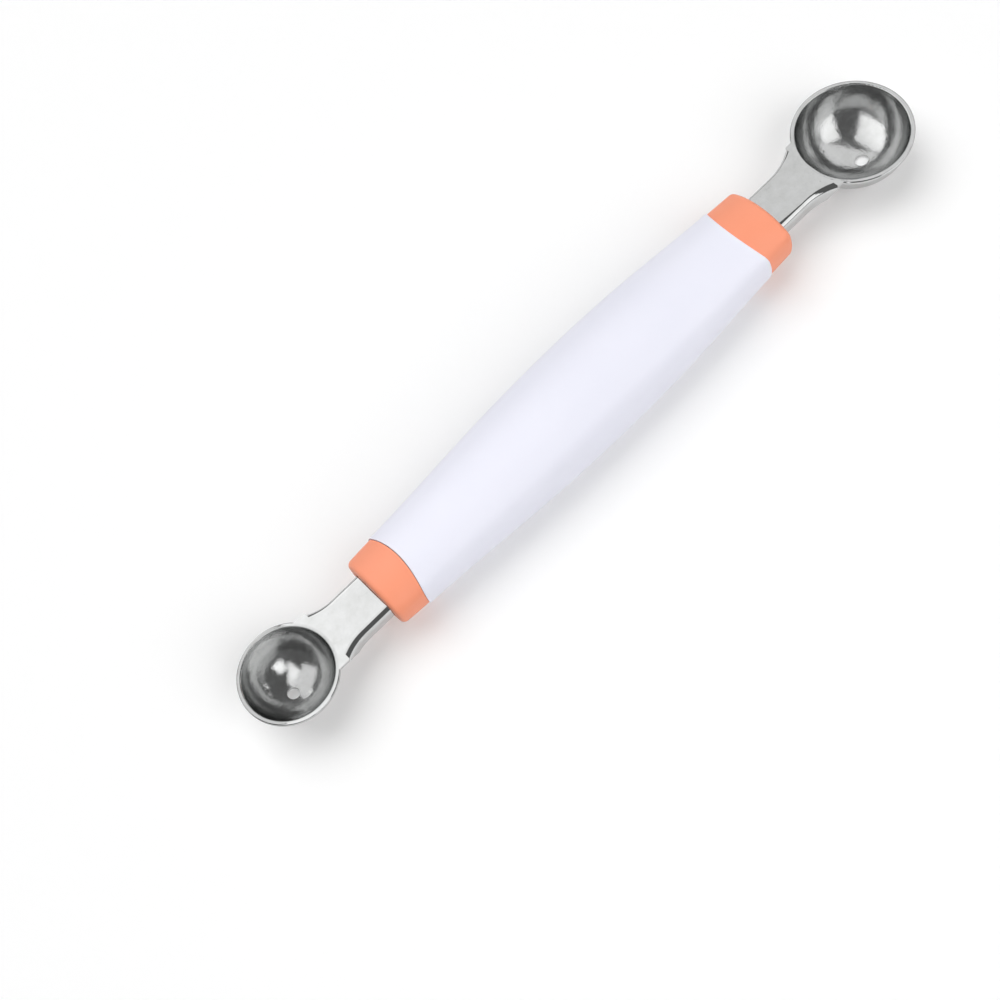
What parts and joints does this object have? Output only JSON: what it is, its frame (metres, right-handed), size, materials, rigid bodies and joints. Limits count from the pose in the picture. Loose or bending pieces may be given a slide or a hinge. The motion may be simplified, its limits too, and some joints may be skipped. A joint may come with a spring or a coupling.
{
  "type": "melon baller",
  "caption": "Double-ended melon baller: a stamped steel bowl on a channel neck at each end of a barrel-shaped handle with coloured end collars, for scooping balls of soft fruit.",
  "frame": {"origin": "under the middle of the overall length, on the plane of symmetry, level with the underside of the large bowl, which is the lowest point", "axes": "+X along the tool towards the tip of the large bowl, +Y across it, +Z out of both bowls"},
  "size_m": [0.2107, 0.0294, 0.0215],
  "materials": {
    "polished_steel": "polished",
    "white_plastic": "satin",
    "coral_plastic": "satin",
    "core_plastic": "matte",
    "pin_steel": "satin"
  },
  "bodies": {
    "root": {"large_scoop": "polished_steel", "small_scoop": "polished_steel", "handle_grip": "white_plastic", "large_end_collar": "coral_plastic", "small_end_collar": "coral_plastic", "handle_core": "core_plastic", "tang_pins": "pin_steel"}
  },
  "joints": []
}
